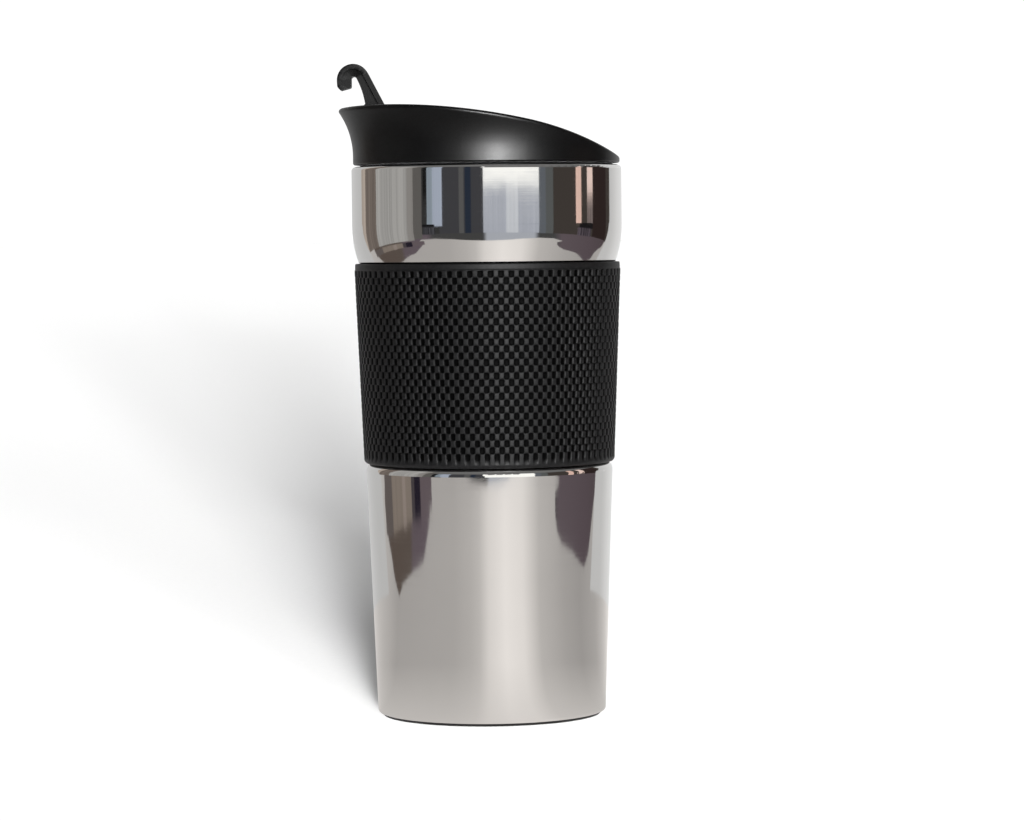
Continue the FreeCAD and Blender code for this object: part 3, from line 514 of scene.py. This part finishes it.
# The pale sheet that the mug stands on, and its shine by azimuth.
SHEET_OUTLINE = [
    (-0.90, 0.37), (-0.544, 0.25), (-0.456, 0.185), (-0.39, 0.11), (-0.326, 0.065), (-0.279, 0.024),
    (-0.31, -0.005), (-0.321, -0.08), (-0.314, -0.151), (-0.346, -0.196), (-0.378, -0.244), (-0.424, -0.296),
    (-0.50, -0.30), (-0.56, -0.36), (-0.46, -0.47), (-0.30, -0.53), (0.30, -0.53), (0.46, -0.47),
    (0.56, -0.36), (0.54, -0.23), (0.466, -0.253), (0.412, -0.224), (0.381, -0.186), (0.368, -0.143),
    (0.377, -0.062), (0.366, -0.005), (0.352, 0.045), (0.394, 0.099), (0.464, 0.149), (0.54, 0.217),
    (0.608, 0.301), (0.80, 0.46), (0.30, 0.80), (-0.30, 0.80),
]
SHEET_GLOW = [
    (-180, 0.60), (-146, 0.53), (-111, 0.41), (-98, 0.35), (-50, 0.37), (-33, 0.38), (-18, 0.43), (-10, 0.49),
    (-2, 0.66), (13, 0.78), (29, 0.72), (45, 0.46), (71, 0.36), (91, 0.32), (116, 0.38), (132, 0.49),
    (158, 0.68),
]
SHEET_TINT = (1.0, 0.96, 0.93)
SHEET_NEAR = (0.60, 0.13)

sheet_points = [(x, y, 0.0) for x, y in SHEET_OUTLINE]
sheet_glow = azimuth_glow("sheet_glow", SHEET_GLOW, SHEET_TINT, near=SHEET_NEAR)
mirrored_mesh("mirrored_sheet", sheet_points, [tuple(range(len(sheet_points)))], sheet_glow)

# The dark desk beyond the sheet.
DESK_TOP = -0.002
DESK_RADIUS = 1.01
DESK_STEP = 5
DESK_GLOW = [
    (-110, (0.09, 0.07, 0.06)), (-79, (0.09, 0.072, 0.062)), (-76, (0.105, 0.084, 0.095)),
    (-52, (0.107, 0.084, 0.10)), (-46, 0.05), (-3, 0.05), (0, (0.36, 0.38, 0.42)), (40, (0.36, 0.38, 0.42)),
    (44, 0.05), (58, 0.05), (66, (0.10, 0.08, 0.09)), (100, (0.085, 0.066, 0.075)),
    (125, (0.07, 0.055, 0.06)),
]

desk_points = [on_circle(DESK_RADIUS, azimuth, DESK_TOP) for azimuth in range(0, 360, DESK_STEP)]
mirrored_mesh("mirrored_desk", desk_points, [tuple(range(len(desk_points)))],
              azimuth_glow("desk_glow", DESK_GLOW))

# The backdrop close behind the mug: its foot is an arc, and above that its ends lean round towards the back.
BACKDROP_GLOW = [(-180, 0.50), (-150, 0.50), (-128, 0.46), (125, 0.50), (140, 0.60), (175, 0.68)]
BACKDROP_RADIUS = 0.30
BACKDROP_AZIMUTHS = range(107, 251, 3)
BACKDROP_BEND = 0.15                     # height where the leaning part ends
BACKDROP_TOP = 0.55
BACKDROP_LEAN = 15                       # degrees that the ends lean round by
LEAN_REACH = 60                          # degrees from the back where they lean fully

backdrop_points = []
for azimuth in BACKDROP_AZIMUTHS:
    side = 1 if azimuth < 180 else -1
    leant = azimuth + side * BACKDROP_LEAN * min(1, abs(azimuth - 180) / LEAN_REACH)
    backdrop_points.append(on_circle(BACKDROP_RADIUS, azimuth, 0.0))
    backdrop_points.append(on_circle(BACKDROP_RADIUS, leant, BACKDROP_BEND))
    backdrop_points.append(on_circle(BACKDROP_RADIUS, leant, BACKDROP_TOP))
backdrop_faces = [(3 * i + k, 3 * i + 3 + k, 3 * i + 4 + k, 3 * i + 1 + k)
                  for i in range(len(BACKDROP_AZIMUTHS) - 1) for k in (0, 1)]
mirrored_mesh("mirrored_backdrop", backdrop_points, backdrop_faces,
              azimuth_glow("backdrop_glow", BACKDROP_GLOW))

# ---------------------------------------------------------------- floor and world

FLOOR_REACH = 600.0                      # far enough that its edge meets the horizon
FLOOR_TONES = (0.86, 0.88)
FLOOR_CORNERS = ((-1, -1), (1, -1), (1, 1), (-1, 1))

floor_material = new_material("floor_white")
floor_tree = floor_material.node_tree
floor_grain = noise(floor_tree, object_place(floor_tree), scale=400.0, detail=3.0)
surface(floor_tree, {"Base Color": mottled(floor_tree, floor_grain, *FLOOR_TONES), "Roughness": 0.9,
                     "Specular IOR Level": 0.1})
floor = plain_mesh("floor", [(x * FLOOR_REACH, y * FLOOR_REACH, 0) for x, y in FLOOR_CORNERS], [(0, 1, 2, 3)],
                   floor_material)
floor.visible_glossy = False

# The world is white to the camera, soft to diffuse rays, and a dim room with a pale ceiling to reflections.
SKY_SEEN = 1.07
SKY_SOFT = 0.24
SKY_LOW, SKY_HIGH = -0.1, 0.9            # height of a direction, at the ends of the ramp
SKY_MIRRORED = [(0.0, 0.04), (0.45, 0.05), (0.62, 0.16), (1.0, 0.2)]


def background(tree, colour, strength=1.0):
    """The shader socket of a plain background."""
    return add(tree, "Background", {"Color": colour, "Strength": strength}).outputs[0]


world = bpy.data.worlds.new("studio")
SCENE.world = world
world.use_nodes = True
sky = world.node_tree
sky.nodes.clear()
path = add(sky, "LightPath")
up = add(sky, "SeparateXYZ", {"Vector": add(sky, "TexCoord").outputs["Generated"]}).outputs["Z"]
soft = background(sky, (1.0, 1.0, 1.0, 1.0), SKY_SOFT)
seen = background(sky, (1.0, 1.0, 1.0, 1.0), SKY_SEEN)
room = background(sky, ramp(sky, spread(sky, up, SKY_LOW, SKY_HIGH, 0.0, 1.0), SKY_MIRRORED))
unseen = add(sky, "MixShader", {0: path.outputs["Is Glossy Ray"], 1: soft, 2: room}).outputs[0]
whole = add(sky, "MixShader", {0: path.outputs["Is Camera Ray"], 1: unseen, 2: seen}).outputs[0]
add(sky, "OutputWorld", {"Surface": whole})

# ---------------------------------------------------------------- lights

# Low, wide lights that throw the long soft shadow on the floor and light nothing else:
# name, azimuth, height angle, width angle, share of the floor's brightness, mean sine of its height.
FLOOR_LIGHTS = [
    ("floor_key", 13.0, 2.0, 12.0, 0.16, 0.04315),
    ("floor_fill", 7.0, 0.5, 4.0, 0.24, 0.01241),
    ("floor_far", 4.0, 0.5, 4.0, 0.46, 0.01241),
]
FLOOR_SHADE = 0.87
floor_only = bpy.data.collections.new("floor_only")
floor_only.objects.link(floor)


def floor_light(name, azimuth, height, width, share, mean_sine):
    """A sun that lights only the floor, strong enough to give it that share of white."""
    data = bpy.data.lights.new(name, "SUN")
    data.energy = share * math.pi / (FLOOR_SHADE * mean_sine)
    data.angle = math.radians(width)
    light = bpy.data.objects.new(name, data)
    towards = on_circle(1.0, azimuth, math.tan(math.radians(height)))
    light.rotation_mode = "QUATERNION"
    light.rotation_quaternion = (-towards).to_track_quat("-Z", "Y")
    light.visible_glossy = False
    light.light_linking.receiver_collection = floor_only
    SCENE.collection.objects.link(light)


for row in FLOOR_LIGHTS:
    floor_light(*row)

# The window's sheen on the dull black parts, whose polished neighbour mirrors the room's cards instead:
# azimuth, height, (width, height) of the light, radiance.
LOW_WINDOW = (13.0, 0.31, (0.50, 0.46), 27.0)
LID_WINDOW = (10.0, 0.24, (0.44, 0.42), 104.0)
WINDOW_DISTANCE = 0.98
WINDOW_AIM = Vector((0.0, 0.0, 0.15))


def window_sheen(name, parts, azimuth, height, size, radiance):
    """A soft window light that shows only as sheen on the given parts."""
    data = bpy.data.lights.new(name, "AREA")
    data.shape = "RECTANGLE"
    data.size, data.size_y = size
    data.energy = radiance * math.pi * size[0] * size[1]
    light = bpy.data.objects.new(name, data)
    light.location = on_circle(WINDOW_DISTANCE, azimuth, height)
    light.rotation_mode = "QUATERNION"
    light.rotation_quaternion = (WINDOW_AIM - light.location).to_track_quat("-Z", "Y")
    light.visible_diffuse = False
    light.visible_camera = False
    shown_on = bpy.data.collections.new(name + "_parts")
    for part in parts:
        shown_on.objects.link(part)
    light.light_linking.receiver_collection = shown_on
    SCENE.collection.objects.link(light)


window_sheen("sheen_low", [NODES["lever"], NODES["lid_plug"]], *LOW_WINDOW)
window_sheen("sheen_lid", [NODES["lid_cover"]], *LID_WINDOW)
window_sheen("sheen_band", [grip_band_pads], *LOW_WINDOW)

# ---------------------------------------------------------------- camera

CAMERA_PLACE = Vector((0.0, -1.0993, 0.1408))
CAMERA_YAW = math.radians(0.357)
CAMERA_PITCH = math.radians(2.63)
CAMERA_ROLL = math.radians(0.6)
SENSOR_WIDTH = 36.0
LENS = 130.08

camera_data = bpy.data.cameras.new("camera")
camera_data.sensor_width = SENSOR_WIDTH
camera_data.lens = LENS
camera = bpy.data.objects.new("camera", camera_data)
camera.matrix_world = (Matrix.Translation(CAMERA_PLACE) @ Matrix.Rotation(-CAMERA_YAW, 4, "Z")
                       @ Matrix.Rotation(math.pi / 2 - CAMERA_PITCH, 4, "X")
                       @ Matrix.Rotation(-CAMERA_ROLL, 4, "Z"))
SCENE.collection.objects.link(camera)
SCENE.camera = camera
SCENE.view_settings.view_transform = "Standard"
